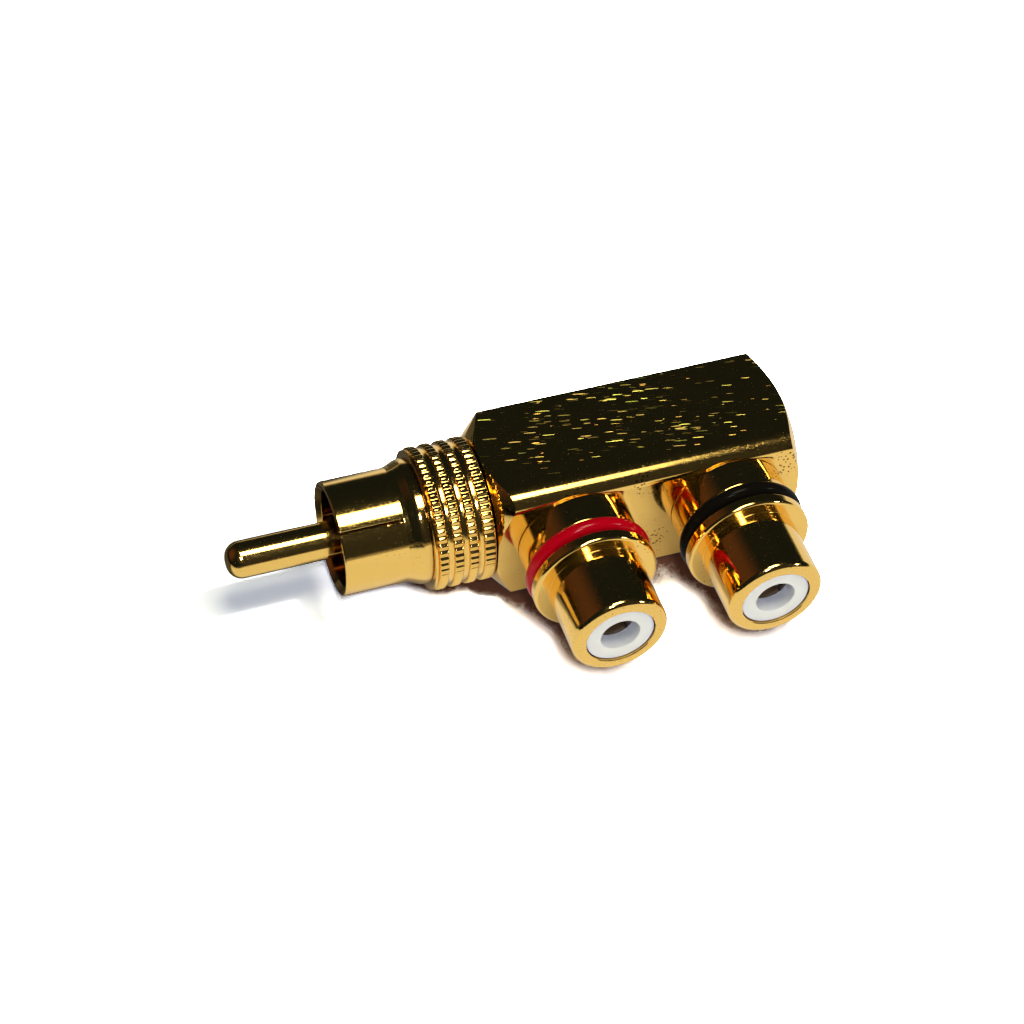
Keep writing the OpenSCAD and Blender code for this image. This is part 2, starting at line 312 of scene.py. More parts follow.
class Shader:
    """A small helper that adds and joins the nodes of one material, of a lamp or of the world."""

    def __init__(self, owner, output="ShaderNodeOutputMaterial"):
        owner.use_nodes = True
        self.owner = owner
        self.tree = owner.node_tree
        self.tree.nodes.clear()
        self.output = self.add(output)

    def add(self, kind, inputs=None, **settings):
        """Adds a node to this tree."""
        return add_node(self.tree, kind, inputs, **settings)

    def surface(self, socket):
        """Joins the last shader to the output."""
        self.tree.links.new(socket, self.output.inputs["Surface"])

    def coordinates(self, scale=(1, 1, 1), turn=(0, 0, 0)):
        """The piece's own coordinates, turned and then stretched."""
        place = self.add("ShaderNodeTexCoord")
        turned_place = self.add("ShaderNodeMapping", {"Vector": place.outputs["Object"], "Rotation": turn})
        stretched = self.add("ShaderNodeMapping", {"Vector": turned_place.outputs["Vector"], "Scale": scale})
        return stretched.outputs["Vector"]

    def noise(self, vector, scale, detail=2.0):
        """A noise between 0 and 1."""
        inputs = {"Vector": vector, "Scale": scale, "Detail": detail}
        return self.add("ShaderNodeTexNoise", inputs).outputs["Fac"]

    def openness(self, distance, samples=6):
        """How open the surroundings are within a distance: 1 in the open, less in a recess."""
        return self.add("ShaderNodeAmbientOcclusion", {"Distance": distance}, samples=samples).outputs["AO"]

    def facing(self):
        """The way the surface faces."""
        return self.add("ShaderNodeNewGeometry").outputs["Normal"]

    def spread(self, value, low, high, to_low=0.0, to_high=1.0):
        """A value moved from one range to another and held inside it."""
        return self.add("ShaderNodeMapRange", {
            "Value": value, "From Min": low, "From Max": high, "To Min": to_low, "To Max": to_high,
        }).outputs["Result"]

    def math(self, operation, first, *others):
        """Arithmetic on one value, or on several from left to right."""
        if not others:
            return self.add("ShaderNodeMath", {0: first}, operation=operation).outputs[0]
        result = first
        for other in others:
            result = self.add("ShaderNodeMath", {0: result, 1: other}, operation=operation).outputs[0]
        return result

    def parts(self, vector):
        """The three numbers of a vector."""
        return self.add("ShaderNodeSeparateXYZ", {"Vector": vector}).outputs

    def vector(self, operation, first, second=(0, 0, 0)):
        """Arithmetic on vectors. A number takes the second place when a vector is scaled."""
        place = "Scale" if operation == "SCALE" else 1
        node = self.add("ShaderNodeVectorMath", {0: first, place: second}, operation=operation)
        return node.outputs["Value" if operation == "DOT_PRODUCT" else "Vector"]

    def bump(self, height, distance, normal=None):
        """A normal bent by a height."""
        inputs = {"Height": height, "Distance": distance, "Strength": 1.0}
        if normal is not None:
            inputs["Normal"] = normal
        return self.add("ShaderNodeBump", inputs).outputs["Normal"]

    def mix_colour(self, share, first, second):
        """One colour over another."""
        colours = [(*colour, 1) if isinstance(colour, tuple) else colour for colour in (first, second)]
        node = self.add("ShaderNodeMix", {0: share, 6: colours[0], 7: colours[1]}, data_type="RGBA")
        return node.outputs[2]


def gold_plate(name, pits, roughness=0.08, scratches=0.0, turning=None, painted_recess_shade=0.0):
    """Polished gold plate with faint ripples, a fine matt grain and dark pits.

    The body's top can have scratches, the jacks' fronts rings from turning, and recesses a painted shade.
    """
    finish = bpy.context.scene.finish
    pits_and_shade = tuple(finish.pits_and_shade)
    shader = Shader(bpy.data.materials.new(name))
    place = shader.coordinates()
    ripple = shader.noise(place, 900.0, detail=3.0)
    grain = shader.noise(place, 9000.0)
    height = shader.math("ADD", shader.math("MULTIPLY", ripple, 0.5), shader.math("MULTIPLY", grain, 0.05))
    matt_specks = shader.spread(grain, 0.54, 0.8, to_high=0.22)
    rough = shader.math("ADD", matt_specks, roughness)
    normal = shader.facing()
    upward = shader.math("GREATER_THAN", shader.parts(normal)["Z"], 0.97)
    base = shader.mix_colour(pit_spots(shader, place, upward, pits), tuple(finish.gold), pits_and_shade)
    # Painted shade: the plate darkens towards the pits' colour where the surroundings close in, in recesses
    # and coves
    if painted_recess_shade:
        unshaded = shader.spread(shader.openness(4 * MM), painted_recess_shade - 0.4, painted_recess_shade)
        base = shader.mix_colour(unshaded, pits_and_shade, base)
    if scratches:
        dash, tint, strength, tilt = scratch_dashes(shader, place, upward, scratches)
        rough = shader.math("ADD", rough, shader.math("MULTIPLY", dash, 0.26))
        orange, green, dark = (0.90, 0.30, 0.05), (0.26, 0.48, 0.07), (0.02, 0.015, 0.005)
        dash_colour = shader.mix_colour(strength, dark, shader.mix_colour(tint, orange, green))
        base = shader.mix_colour(shader.math("MULTIPLY", dash, 0.8), base, dash_colour)
        normal = shader.vector("NORMALIZE", shader.vector("ADD", normal, tilt))
    if turning:
        rings, forward = turned_face(shader, place, turning)
        height = shader.math("ADD", height, rings)
        rough = shader.math("ADD", rough, shader.math("MULTIPLY", forward, 0.15))
    metal = shader.add("ShaderNodeBsdfPrincipled", {
        "Base Color": base, "Metallic": 1.0,
        "Roughness": rough, "Normal": shader.bump(height, 0.004 * MM, normal),
    })
    shader.surface(metal.outputs[0])
    return shader.owner


def pit_spots(shader, place, upward, amount):
    """Small dark pits in patches, except where the surface faces straight up."""
    cells = shader.add("ShaderNodeTexVoronoi", {"Vector": place, "Scale": 3000.0})
    patch = shader.spread(shader.noise(place, 240.0, detail=1.0), 0.5, 0.66)
    size = shader.math("MULTIPLY", patch, 0.3 * amount)
    pit = shader.math("LESS_THAN", cells.outputs["Distance"], size)
    return shader.math("MULTIPLY", pit, shader.math("SUBTRACT", 1.0, upward))


def scratch_dashes(shader, place, upward, amount):
    """Short dashes along the body's top: where they are, their tint and strength, and how each leans."""
    cells_per_metre = (640.0, 7600.0, 1.0)
    askew = (0, 0, math.radians(11))
    dash_place = shader.coordinates(cells_per_metre, askew)
    # Each row is shifted by its own amount, so that dashes don't stand in columns
    row = shader.math("FLOOR", shader.parts(dash_place)["Y"])
    shift = shader.add("ShaderNodeTexWhiteNoise", {"W": row}, noise_dimensions="1D").outputs["Value"]
    dash_place = shader.vector("ADD", dash_place, shader.vector("SCALE", (7.0, 0.0, 0.0), shift))
    cells = shader.add("ShaderNodeTexVoronoi", {"Vector": dash_place, "Scale": 1.0}, voronoi_dimensions="2D")
    chance = shader.add("ShaderNodeSeparateColor", {0: cells.outputs["Color"]}).outputs
    # Dashes come in patches, and grow fewer towards the plug, the far end and the rounded edge
    patch = shader.spread(shader.noise(place, 260.0), 0.36, 0.64, to_low=0.04, to_high=0.38)
    sides = shader.parts(place)
    far_end = shader.spread(sides["X"], 30 * MM, 35 * MM, to_low=1.0, to_high=0.45)
    plug_end = shader.spread(sides["X"], 14 * MM, 23 * MM, to_low=0.25)
    edge = shader.spread(sides["Y"], -3.6 * MM, -2.4 * MM)
    share = shader.math("MULTIPLY", patch, far_end, amount, plug_end, edge)
    chosen = shader.math("LESS_THAN", chance["Red"], share)
    size = shader.spread(chance["Blue"], 0.0, 1.0, to_low=0.1, to_high=0.4)
    inside = shader.math("LESS_THAN", cells.outputs["Distance"], size)
    dash = shader.math("MULTIPLY", chosen, inside, upward)
    lean = shader.math("MULTIPLY", dash, shader.spread(chance["Green"], 0.0, 1.0, to_low=-0.62, to_high=0.2))
    other = shader.add("ShaderNodeTexWhiteNoise", {"Vector": cells.outputs["Position"]}).outputs["Value"]
    strength = shader.math("MULTIPLY", other, other)
    across_dashes = (0.19, 0.98, 0.0)
    return dash, chance["Blue"], strength, shader.vector("SCALE", across_dashes, lean)


def turned_face(shader, place, jack_places):
    """Fine rings round each jack's axis, and where the surface is the barrel's front."""
    front_r = 4.1 * MM
    faces_front = shader.math("LESS_THAN", shader.parts(shader.facing())["Y"], -0.95)
    first, second = jack_places
    sides = shader.parts(place)
    # Folding the adapter in half brings both jacks' axes together
    folded = shader.math("ABSOLUTE", shader.math("SUBTRACT", sides["X"], (first + second) / 2))
    across = shader.math("SUBTRACT", folded, (second - first) / 2)
    squares = [shader.math("MULTIPLY", side, side) for side in (across, sides["Z"])]
    reach = shader.math("SQRT", shader.math("ADD", *squares))
    forward = shader.math("MULTIPLY", faces_front, shader.math("LESS_THAN", reach, front_r))
    inputs = {"W": reach, "Scale": 9000.0, "Detail": 2.0}
    groove = shader.add("ShaderNodeTexNoise", inputs, noise_dimensions="1D").outputs["Fac"]
    return shader.math("MULTIPLY", groove, forward, 0.08), forward


def plastic(name, colour, roughness, unevenness, shine=0.5, recess=None):
    """Moulded plastic with a slightly uneven skin, and a painted shade colour in the recesses if one is
    given.
    """
    shader = Shader(bpy.data.materials.new(name))
    skin = shader.noise(shader.coordinates(), 2200.0, detail=3.0)
    base = (*colour, 1)
    if recess:
        # Painted shade: the recess colour darkens the hollows, such as the insulators' hole walls
        base = shader.mix_colour(shader.spread(shader.openness(2 * MM), 0.6, 0.95), recess, tuple(colour))
    body = shader.add("ShaderNodeBsdfPrincipled", {
        "Base Color": base,
        "Roughness": shader.spread(skin, 0.3, 0.7, roughness * 0.8, roughness * 1.2),
        "Normal": shader.bump(skin, unevenness * MM),
        "Specular IOR Level": shine,
    })
    shader.surface(body.outputs[0])
    return shader.owner


def pale_floor():
    """A floor that looks white, with its own levels for the camera, the lamps' light and mirror images, and
    a painted brown shadow near the adapter.
    """
    brown = (0.10, 0.045, 0.03)
    shader = Shader(bpy.data.materials.new("Pale_floor"))
    rays = shader.add("ShaderNodeLightPath").outputs
    seen = shader.math("MAXIMUM", rays["Is Camera Ray"], rays["Is Transmission Ray"])
    mirrored = rays["Is Glossy Ray"]
    sides = shader.parts(shader.coordinates())
    along, across = sides["X"], sides["Y"]
    # Painted shadow: near the adapter the floor turns brown, in a narrow band at the plug and a wide one at
    # the body
    room = shader.spread(along, 11 * MM, 14 * MM, to_low=2.0 * MM, to_high=5.0 * MM)
    near = shader.spread(shader.openness(room, samples=16), 0.44, 0.60, to_low=1.0, to_high=0.0)
    near = shader.math("MULTIPLY", near, shader.spread(mirrored, 0, 1, to_low=1.0, to_high=0.35))
    # The gold mirrors an even floor at the body, a painted shadow on the floor under the plug and a dark
    # room far to the left
    at_body = shader.spread(along, 6 * MM, 14 * MM)
    not_far = shader.spread(along, -55 * MM, -25 * MM)
    under_plug = shader.spread(across, -2.8 * MM, -0.6 * MM)
    shaded = shader.math("MULTIPLY", under_plug, shader.spread(at_body, 0, 1, to_low=0.9, to_high=0))
    in_reach = shader.math("MULTIPLY", not_far, shader.math("SUBTRACT", 1.0, shaded))
    paper_level = shader.math("MULTIPLY", shader.spread(at_body, 0, 1, to_low=0.50, to_high=0.21), in_reach)
    glow_level = shader.math("MULTIPLY", shader.spread(at_body, 0, 1, to_low=0.04, to_high=0.53), in_reach)
    paper_colour = shader.mix_colour(mirrored, (0.90, 0.90, 0.90), paper_level)
    # From the plug's mouth on, the paper is overbright to the camera, so that only the pin's shadow shows
    bright = shader.spread(along, -1.5 * MM, 2 * MM, to_low=1.0, to_high=4.5)
    paper_colour = shader.mix_colour(seen, paper_colour, bright)
    # In the painted shadow near the adapter, paper and glow turn brown
    paper_colour = shader.mix_colour(near, paper_colour, brown)
    paper = shader.add("ShaderNodeBsdfDiffuse", {"Color": paper_colour})
    tone = shader.mix_colour(seen, (1.0, 0.96, 0.90), (0.80, 1.0, 1.35))
    tone = shader.mix_colour(near, tone, brown)
    mirrored_glow = shader.math("MULTIPLY", mirrored, glow_level)
    strength = shader.math("ADD", shader.math("MULTIPLY", seen, 0.2), mirrored_glow)
    glow = shader.add("ShaderNodeEmission", {"Color": tone, "Strength": strength})
    both = shader.add("ShaderNodeAddShader", {0: paper.outputs[0], 1: glow.outputs[0]})
    shader.surface(both.outputs[0])
    return shader.owner


def bar_outline(settings, edge_reach):
    """Points round the bar's section, close together, as (y, z), with the rounded edge above the jacks."""
    low, high = BAR_LOW, BAR_HIGH
    small, depth = settings.edge_break, settings.edge_depth
    long_side = 3 * MM
    points = soft_outline([
        (low.y, low.z, small), (high.y, low.z, small), (high.y, high.z, small), (low.y, high.z, 0),
    ])
    # The rounded edge takes the place of the last corner
    points.pop()
    for step in range(EDGE_STEPS, -1, -1):
        turn = math.pi / 2 * step / EDGE_STEPS
        across = low.y + edge_reach * (1 - math.cos(turn))
        points.append(Vector((across, high.z - depth * (1 - math.sin(turn)))))
    filled = []
    for point, after in zip(points, points[1:] + points[:1]):
        parts = SIDE_PARTS if (after - point).length > long_side else 1
        filled.extend(point.lerp(after, part / parts) for part in range(parts))
    return filled


def bar_mesh(settings):
    """The bar between its two turned ends: a flat disc with a chamfer cone out to the bar's sides."""
    mesh = bmesh.new()
    ends = (
        (BAR_LOW.x, settings.plug_slope, settings.plug_disc, settings.edge_wide),
        (BAR_HIGH.x, -settings.far_slope, settings.far_disc, settings.edge_narrow),
    )
    middle = Vector((settings.turned_back, -settings.turned_down))
    rims = []
    for face, slope, disc, edge_reach in ends:
        rim, circle = [], []
        outline = bar_outline(settings, edge_reach)
        for point in outline:
            outward = point - middle
            reach = outward.length
            flat = middle + outward * min(disc, reach) / reach
            rim.append(mesh.verts.new((face + slope * max(0, reach - disc), point.x, point.y)))
            circle.append(mesh.verts.new((face, flat.x, flat.y)))
        rims.append(rim)
        centre = mesh.verts.new((face, middle.x, middle.y))
        for index in range(len(outline)):
            beside = (index + 1) % len(outline)
            mesh.faces.new((rim[index], rim[beside], circle[beside], circle[index]))
            mesh.faces.new((circle[index], circle[beside], centre))
    for index in range(len(outline)):
        beside = (index + 1) % len(outline)
        mesh.faces.new((rims[0][index], rims[0][beside], rims[1][beside], rims[1][index]))
    bmesh.ops.remove_doubles(mesh, verts=mesh.verts, dist=WELD)
    bmesh.ops.recalc_face_normals(mesh, faces=mesh.faces)
    return mesh


class SPLITTER_OT_body(bpy.types.Operator):
    """Builds the rectangular body with its turned ends and its bores"""

    bl_idname = "splitter.body"
    bl_label = "Splitter body"

    def execute(self, context):
        settings = context.scene.splitter_body
        piece = add_object("Splitter_body", bar_mesh(settings))
        bevel = piece.modifiers.new("Edges", "BEVEL")
        bevel.width = settings.edge_break
        bevel.segments = 2
        bevel.angle_limit = math.radians(20)
        bake_modifiers(piece)
        cut(piece, turned("Bore_cutter", plug_bores(), along_plug, 96))
        for jack in JACKS:
            cut(piece, turned("Jack_cutter", jack_bores(), along_jack(jack_x(jack)), 96))
        even_shading(piece, 20)
        gold = gold_plate("Gold_body", pits=1.0, scratches=1.0, painted_recess_shade=0.45)
        settle(piece, gold, "gold_body", "splitter_body")
        return {"FINISHED"}


def jack_x(jack):
    """Where a jack's axis crosses the plug's."""
    low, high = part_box(f"{jack}_jack_barrel")
    return (low.x + high.x) / 2


def plug_bores():
    """Outline of what is bored out of the bar from the plug's end."""
    start = BAR_LOW.x - 0.5 * MM
    spigot = SLEEVE_HIGH.x
    rod_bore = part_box("rod_end_cap")[1]
    return [
        (start, 0, 0), (start, SLEEVE_SPIGOT_R, 0), (spigot, SLEEVE_SPIGOT_R, 0),
        (spigot, rod_bore.z, 0), (rod_bore.x, rod_bore.z, 0), (rod_bore.x, 0, 0),
    ]


def jack_bores():
    """Outline of what is bored out of the bar for a jack."""
    low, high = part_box("red_jack_rear_cup")
    outside = 0.5 * MM - BAR_LOW.y
    return [
        (-high.y, 0, 0), (-high.y, high.z, 0), (-low.y, high.z, 0),
        (-low.y, SHANK_R, 0), (outside, SHANK_R, 0), (outside, 0, 0),
    ]


def knurl_rows(plug):
    """The sleeve's closed section as rows of (station, radius in the gaps, radius on the teeth)."""
    top = SLEEVE_HIGH.z
    root = top - plug.tooth_depth
    groove, groove_bow = top - 0.34 * MM, 0.2 * MM
    shoulder, rounding = root + 0.03 * MM, 0.18 * MM
    neck_start, neck_end = 5.5 * MM, 5.1 * MM
    start, end = SLEEVE_LOW.x, BAR_LOW.x
    first_ring = start + 0.31 * MM
    gap = plug.ring_pitch - plug.ring_width
    rows = [
        (start + rounding * (1 - math.cos(turn)), shoulder - rounding * (1 - math.sin(turn)), 0)
        for turn in (0, 0.4, 0.8, 1.2, math.pi / 2)
    ]
    for ring in range(plug.rings):
        is_last = ring + 1 == plug.rings
        low = first_ring + ring * plug.ring_pitch
        high = low + (plug.last_ring_width if is_last else plug.ring_width)
        rows += ring_rows(low, high, groove, root, top)
        if not is_last:
            rows += [
                (high + gap * share, groove + (share - 0.5) ** 2 * groove_bow, 0)
                for share in (0.2, 0.35, 0.5, 0.65, 0.8)
            ]
    return rows + [
        (high + 0.03 * MM, neck_start, 0), (end, neck_end, 0),
        (end, SLEEVE_SPIGOT_R, 0), (SLEEVE_HIGH.x, SLEEVE_SPIGOT_R, 0), (SLEEVE_HIGH.x, CORE_R, 0),
        (SHELL_HIGH.x, CORE_R, 0), (SHELL_HIGH.x, SHELL_SPIGOT_R, 0), (start, SHELL_SPIGOT_R, 0),
    ]


def knurl_slice(plug):
    """One tooth's share of the sleeve, from one gap's middle to the next. The tooth rises as a wave."""
    steps = 14
    shares = [step / steps for step in range(-steps // 2, steps // 2 + 1)]
    columns = [(share, (1 + math.cos(math.tau * share)) / 2) for share in shares]
    tooth = math.tau / plug.teeth
    mesh = bmesh.new()
    grid = [
        [
            mesh.verts.new(along_plug(station, valley + max(0, crest - valley) * rise, share * tooth))
            for share, rise in columns
        ]
        for station, valley, crest in knurl_rows(plug)
    ]
    for row, above in zip(grid, grid[1:] + grid[:1]):
        for column in range(steps):
            mesh.faces.new((row[column], row[column + 1], above[column + 1], above[column]))
    return mesh


def ring_rows(low, high, groove, root, top):
    """Rows of one knurled ring: from the groove up a rounded shoulder, along the teeth and down again."""
    # Each row is (distance from the ring's side, radius in the gaps, radius on the teeth)
    rise = [
        (0, groove + 0.03 * MM, 0), (0.03 * MM, root - 0.09 * MM, root - 0.04 * MM),
        (0.07 * MM, root - 0.03 * MM, top - 0.07 * MM), (0.12 * MM, root, top - 0.025 * MM),
        (0.19 * MM, root, top),
    ]
    up = [(low + along, gap, tooth) for along, gap, tooth in rise]
    down = [(high - along, gap, tooth) for along, gap, tooth in reversed(rise)]
    return up + down


def round_copies_tree(material):
    """A node tree that repeats a slice round the plug's axis and welds the copies."""
    tree = bpy.data.node_groups.new("Copies_round_axis", "GeometryNodeTree")
    sockets = {}
    for name, kind, side in (
        ("Slice", "NodeSocketGeometry", "INPUT"),
        ("Copies", "NodeSocketInt", "INPUT"),
        ("Weld distance", "NodeSocketFloat", "INPUT"),
        ("Sleeve", "NodeSocketGeometry", "OUTPUT"),
    ):
        sockets[name] = tree.interface.new_socket(name, in_out=side, socket_type=kind)

    def add(kind, inputs=None, **settings):
        return add_node(tree, kind, inputs, **settings)

    start = add("NodeGroupInput")
    end = add("NodeGroupOutput")
    points = add("GeometryNodeMeshLine", {"Count": start.outputs["Copies"], "Offset": (0, 0, 0)})
    number = add("GeometryNodeInputIndex").outputs[0]
    share = add("ShaderNodeMath", {0: number, 1: start.outputs["Copies"]}, operation="DIVIDE").outputs[0]
    turn = add("ShaderNodeMath", {0: share, 1: math.tau}, operation="MULTIPLY").outputs[0]
    angles = add("ShaderNodeCombineXYZ", {"X": turn}).outputs[0]
    copies = add("GeometryNodeInstanceOnPoints", {
        "Points": points.outputs["Mesh"], "Instance": start.outputs["Slice"], "Rotation": angles,
    })
    real = add("GeometryNodeRealizeInstances", {"Geometry": copies.outputs["Instances"]})
    weld = add("GeometryNodeMergeByDistance", {
        "Geometry": real.outputs["Geometry"], "Distance": start.outputs["Weld distance"],
    })
    coat = add("GeometryNodeSetMaterial", {"Geometry": weld.outputs["Geometry"], "Material": material})
    tree.links.new(coat.outputs["Geometry"], end.inputs[0])
    return tree, sockets


class SPLITTER_OT_sleeve(bpy.types.Operator):
    """Builds the knurled sleeve by repeating one tooth's slice round the axis"""

    bl_idname = "splitter.sleeve"
    bl_label = "Knurled sleeve"

    def execute(self, context):
        plug = context.scene.splitter_plug
        material = gold_plate("Gold_knurl", pits=0.5, roughness=0.1)
        piece = add_object("Knurled_sleeve", knurl_slice(plug))
        tree, sockets = round_copies_tree(material)
        modifier = piece.modifiers.new("Copies", "NODES")
        modifier.node_group = tree
        modifier[sockets["Copies"].identifier] = plug.teeth
        modifier[sockets["Weld distance"].identifier] = WELD
        bake_modifiers(piece)
        bpy.data.node_groups.remove(tree)
        mesh = bmesh.new()
        mesh.from_mesh(piece.data)
        bmesh.ops.recalc_face_normals(mesh, faces=mesh.faces)
        mesh.to_mesh(piece.data)
        mesh.free()
        even_shading(piece, 50)
        settle(piece, material, "gold_knurl", "knurled_sleeve")
        return {"FINISHED"}


class SPLITTER_OT_plug(bpy.types.Operator):
    """Builds the plug's slotted shell and its centre pin"""

    bl_idname = "splitter.plug"
    bl_label = "Plug"

    def execute(self, context):
        plug = context.scene.splitter_plug
        shell = turned("Plug_shell", self.shell_outline(plug), along_plug, 240)
        # Each cut goes through both walls, so two of them give four slots
        for quarter in range(2):
            cut(shell, self.slot_cutter(plug, plug.slot_angle + quarter * math.pi / 2))
        edges = shell.modifiers.new("Edges", "BEVEL")
        edges.width = 0.03 * MM
        edges.segments = 1
        edges.angle_limit = math.radians(60)
        bake_modifiers(shell)
        even_shading(shell, 35)
        settle(shell, gold_plate("Gold_shell", pits=0.4, painted_recess_shade=0.75), "gold_shell", "plug_shell")
        pin = turned("Centre_pin", self.pin_outline(plug), along_plug, 128)
        even_shading(pin)
        settle(pin, gold_plate("Gold_pin", pits=0.3, roughness=0.1), "gold_pin", "centre_pin")
        return {"FINISHED"}

    @staticmethod
    def shell_outline(plug):
        """Section of the shell: a thin tube, a cove up to the collar, and the spigot in the sleeve."""
        outer, bore = plug.shell_diameter / 2, plug.shell_bore / 2
        lip = 0.42 * MM
        cove = plug.shell_straight + 0.36 * MM
        collar, collar_end = SHELL_HIGH.z, SLEEVE_LOW.x
        collar_start = collar_end - 1.0 * MM
        head_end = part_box("plug_insulator")[0].x + 1.0 * MM
        return [
            (0, bore + lip, 0.04 * MM), (0, outer, 0.15 * MM),
            (plug.shell_straight, outer, 0.12 * MM), (cove, outer + 0.1 * MM, 0.12 * MM),
            (collar_start, collar - 0.14 * MM, 0.04 * MM), (collar_start + 0.31 * MM, collar, 1.3 * MM),
            (collar_end, collar, 0.08 * MM), (collar_end, SHELL_SPIGOT_R, 0),
            (SHELL_HIGH.x, SHELL_SPIGOT_R, 0), (SHELL_HIGH.x, CORE_R, 0),
            (head_end, CORE_R, 0), (head_end, bore, 0), (lip, bore, 0.05 * MM),
        ]

    @staticmethod
    def slot_cutter(plug, angle):
        """A saw blade's cut through both walls of the shell's mouth."""
        mesh = bmesh.new()
        bmesh.ops.create_cube(mesh, size=1)
        past = 1.0 * MM
        reach = plug.shell_diameter * 1.5
        size = Matrix.Diagonal((plug.slot_length + past, reach, plug.slot_width, 1))
        place = Matrix.Translation(((plug.slot_length - past) / 2, 0, 0))
        bmesh.ops.transform(mesh, matrix=Matrix.Rotation(-angle, 4, "X") @ place @ size, verts=mesh.verts)
        return add_object("Slot_cutter", mesh)

    @staticmethod
    def pin_outline(plug):
        """Section of the pin: a blunt tip, the plain pin and its thicker tail."""
        radius, tail = plug.pin_diameter / 2, PIN_HIGH.z
        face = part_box("plug_insulator")[0].x
        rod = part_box("bus_rod")
        return [
            (PIN_LOW.x, 0, 0), (PIN_LOW.x, radius, plug.pin_tip), (face, radius, 0), (face, tail, 0),
            (PIN_HIGH.x, tail, 0), (PIN_HIGH.x, rod[1].z, 0), (rod[0].x, rod[1].z, 0), (rod[0].x, 0, 0),
        ]


class SPLITTER_OT_jacks(bpy.types.Operator):
    """Builds the boss, barrel and insulator of both jacks"""

    bl_idname = "splitter.jacks"
    bl_label = "Jacks"

    def execute(self, context):
        settings = context.scene.splitter_jacks
        axes = tuple(jack_x(jack) for jack in JACKS)
        gold = gold_plate("Gold_jack", pits=0.6, turning=axes, painted_recess_shade=0.45)
        # Painted shade for the insulators' hole walls
        lavender_shade = (0.60, 0.65, 1.0)
        white = plastic("White_insulator", context.scene.finish.white, 0.35, 0.004, recess=lavender_shade)
        for jack in JACKS:
            for part, outline, material, slot in (
                ("boss", self.boss_outline(jack), gold, "gold_jack"),
                ("barrel", self.barrel_outline(jack, settings), gold, "gold_jack"),
                ("insulator", self.insulator_outline(jack, settings), white, "jack_white"),
            ):
                piece = turned(f"{jack.capitalize()}_jack_{part}", outline, along_jack(jack_x(jack)))
                even_shading(piece)
                settle(piece, material, slot, f"{jack}_jack_{part}")
        return {"FINISHED"}

    @staticmethod
    def boss_outline(jack):
        """Section of the plain spacer behind the colour ring."""
        low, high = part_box(f"{jack}_jack_boss")
        edge = 0.12 * MM
        return [
            (-high.y, SHANK_R, 0), (-high.y, high.z, edge), (-low.y, high.z, edge), (-low.y, SHANK_R, 0),
        ]

    @staticmethod
    def barrel_outline(jack, settings):
        """Section of the barrel, its flange and its shank."""
        low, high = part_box(f"{jack}_jack_barrel")
        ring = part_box(f"{jack}_ring")
        barrel_r = settings.barrel_diameter / 2
        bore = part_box(f"{jack}_jack_insulator")[1].z
        bore_bevel = 0.05 * MM
        step, step_r = -ring[0].y, 4.7 * MM
        flange = step + settings.step_width
        flange_end = flange + settings.flange_width
        return [
            (-high.y, bore, 0), (-high.y, SHANK_R, 0), (step, SHANK_R, 0), (step, step_r, 0),
            (flange, step_r, 0), (flange, high.z, 0.12 * MM),
            (flange_end, high.z, settings.flange_edge), (flange_end, barrel_r, 0.03 * MM),
            (-low.y, barrel_r, settings.barrel_edge), (-low.y, bore + bore_bevel, 0),
            (-low.y - bore_bevel, bore, 0),
        ]

    @staticmethod
    def insulator_outline(jack, settings):
        """Section of the insulator, with room behind its front wall for the contact's fingers."""
        low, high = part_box(f"{jack}_jack_insulator")
        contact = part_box(f"{jack}_jack_contact")
        front, wall, hole = -low.y, -contact[0].y, settings.hole_diameter / 2
        fingers, room = wall - 6.0 * MM, 2.5 * MM
        # A hairline gap shows between the insulator's front and the barrel
        gap = 0.06 * MM
        return [
            (-high.y, contact[1].z, 0), (-high.y, high.z, 0), (front - 1.0 * MM, high.z, 0),
            (front - 0.9 * MM, high.z - gap, 0), (front, high.z - gap, 0.08 * MM),
            (front, hole, 0.06 * MM), (wall, hole, 0), (wall, room, 0),
            (fingers, room, 0), (fingers, contact[1].z, 0),
        ]


class SPLITTER_OT_rings(bpy.types.Operator):
    """Builds the two colour rings"""

    bl_idname = "splitter.rings"
    bl_label = "Colour rings"

    def execute(self, context):
        finish = context.scene.finish
        shine = {"red": 0.16, "black": 0.03}
        for jack in JACKS:
            low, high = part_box(f"{jack}_ring")
            # Just under half the width, so that the rim is round and the two bends stay apart
            rim = (high.y - low.y) * 0.49
            corners = [
                (-high.y, SHANK_R, 0), (-high.y, high.z, rim), (-low.y, high.z, rim), (-low.y, SHANK_R, 0),
            ]
            title = jack.capitalize()
            ring = turned(f"{title}_ring", corners, along_jack(jack_x(jack)))
            even_shading(ring)
            material = plastic(f"{title}_plastic", getattr(finish, jack), 0.14, 0.002, shine[jack])
            settle(ring, material, f"ring_{jack}", f"{jack}_ring")
        return {"FINISHED"}


class SPLITTER_OT_inner(bpy.types.Operator):
    """Gives the solids inside the adapter their finish"""

    bl_idname = "splitter.inner"
    bl_label = "Inner pieces"

    def execute(self, context):
        white = plastic("Inner_white", context.scene.finish.white, 0.5, 0.004)
        # The contacts lie deep in the holes, and their dark, dull colour is painted shade
        dark = plastic("Gold_contact", (0.10, 0.06, 0.03), 0.5, 0.002)
        for name in ("plug_insulator", "rod_spacer", "rod_end_cap"):
            dress_node(name, white)
        for jack in JACKS:
            dress_node(f"{jack}_jack_rear_cup", white)
            dress_node(f"{jack}_jack_contact", dark)
        dress_node("bus_rod", gold_plate("Bare_brass", pits=0.3, roughness=0.3))
        return {"FINISHED"}


